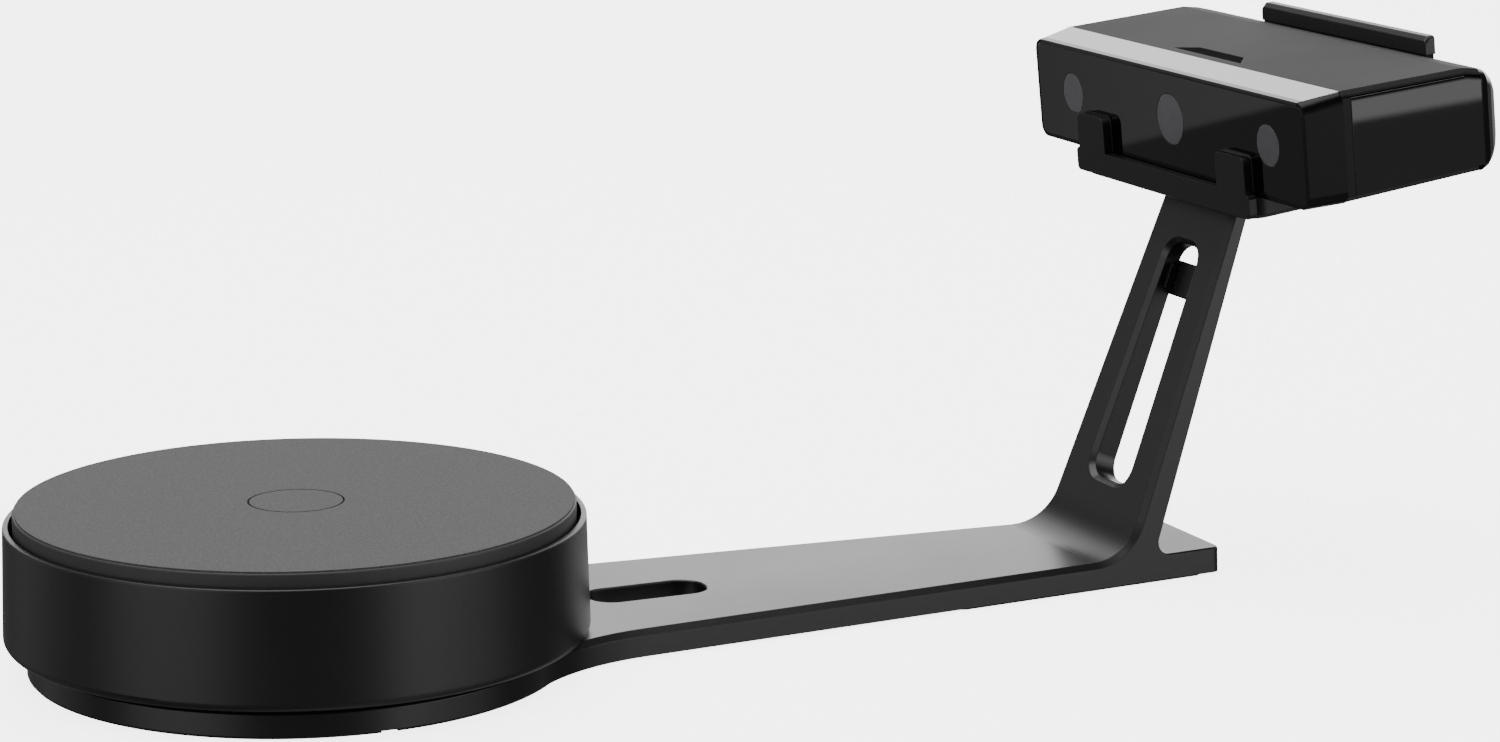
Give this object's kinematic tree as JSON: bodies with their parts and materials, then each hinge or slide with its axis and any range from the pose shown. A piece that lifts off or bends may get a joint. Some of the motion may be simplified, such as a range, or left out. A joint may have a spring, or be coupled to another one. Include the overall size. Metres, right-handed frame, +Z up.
{
  "type": "desktop 3d scanner",
  "caption": "Desktop 3D scanner: a motorised turntable on a flat arm whose leaning riser carries a wide camera and projector head in a cradle.",
  "frame": {"origin": "below the middle of the overall box, on the surface the pads rest on", "axes": "+X along the arm from the turntable to the head, +Y to the far side, +Z up"},
  "size_m": [0.5623, 0.2122, 0.2121],
  "materials": {
    "frame_black": "satin black moulding",
    "housing_black": "satin black moulding",
    "mat_grey": "matt grey non-slip face",
    "cover_grey": "matt dark grey",
    "trim_silver": "satin silver",
    "panel_gloss": "gloss black",
    "window_grey": "grey filter window",
    "lens_glass": "clear lens",
    "rubber": "matt",
    "steel": "bright",
    "brass": "satin",
    "white_plastic": "natural acetal",
    "motor_case": "black enamel",
    "board_green": "solder mask",
    "bench_aluminium": "machined",
    "jack_black": "matt"
  },
  "bodies": {
    "base": {"arm_foot_pad": "rubber", "badge_plate": "panel_gloss", "base_foot_pads": "rubber", "bottom_shell": "housing_black", "bracket_screws": "steel", "button_switch": "jack_black", "cable_clip": "housing_black", "chassis_plate": "housing_black", "chassis_screws": "steel", "control_board": "board_green", "cradle_pads": "rubber", "cradle_screws": "steel", "cradle_tray": "frame_black", "data_port": "steel", "drive_motor": "motor_case", "fan_frame": "housing_black", "frame_screws": "steel", "front_bezel": "housing_black", "front_panel": "panel_gloss", "latch_pin": "steel", "left_barrel": "bench_aluminium", "left_camera_board": "board_green", "left_lens": "lens_glass", "left_side_panel": "panel_gloss", "left_window": "window_grey", "main_board": "board_green", "middle_barrel": "bench_aluminium", "middle_lens": "lens_glass", "middle_window": "window_grey", "motor_bracket": "steel", "motor_screws": "steel", "optical_frame": "bench_aluminium", "power_jack": "jack_black", "projector_module": "bench_aluminium", "rear_cover": "housing_black", "right_barrel": "bench_aluminium", "right_camera_board": "board_green", "right_lens": "lens_glass", "right_side_panel": "panel_gloss", "right_window": "window_grey", "spindle_bush": "brass", "stand_frame": "frame_black", "stand_port": "steel", "thrust_washer": "white_plastic", "top_cover": "cover_grey", "top_trim": "trim_silver", "turntable_housing": "housing_black", "turntable_socket": "steel"},
    "platter_unit": {"platter": "housing_black", "platter_mat": "mat_grey", "centre_cap": "mat_grey", "drive_gear": "white_plastic", "spindle": "steel", "gear_screws": "steel"},
    "pinion_unit": {"motor_pinion": "brass", "motor_shaft": "steel"},
    "latch": {"rear_latch": "frame_black"},
    "button": {"power_button": "housing_black"},
    "fan": {"fan_rotor": "housing_black"}
  },
  "joints": [
    {"name": "platter_spin", "type": "hinge", "parent": "base", "child": "platter_unit", "pos_m": [-0.17488, 0, 0.06], "axis": [0, 0, 1], "continuous": true},
    {"name": "pinion_spin", "type": "hinge", "parent": "base", "child": "pinion_unit", "pos_m": [-0.22579, 0.05091, 0.043], "axis": [0, 0, 1], "continuous": true},
    {"name": "latch_swing", "type": "hinge", "parent": "base", "child": "latch", "pos_m": [0.27834, 0, 0.1612], "axis": [0, 1, 0], "range_deg": [0, 14], "stiffness_Nm_per_rad": 0.3, "springref_deg": -11.46},
    {"name": "power_press", "type": "slide", "parent": "base", "child": "button", "axis": [-0.9945, 0, -0.1045], "range_m": [0, 0.0008], "stiffness_N_per_m": 400, "springref_m": -0.0005},
    {"name": "fan_spin", "type": "hinge", "parent": "base", "child": "fan", "pos_m": [0.25592, 0, 0.1875], "axis": [0.9945, 0, 0.1045], "continuous": true}
  ],
  "couplings": [
    {"joint": "pinion_spin", "follows": "platter_spin", "ratio": -5}
  ]
}
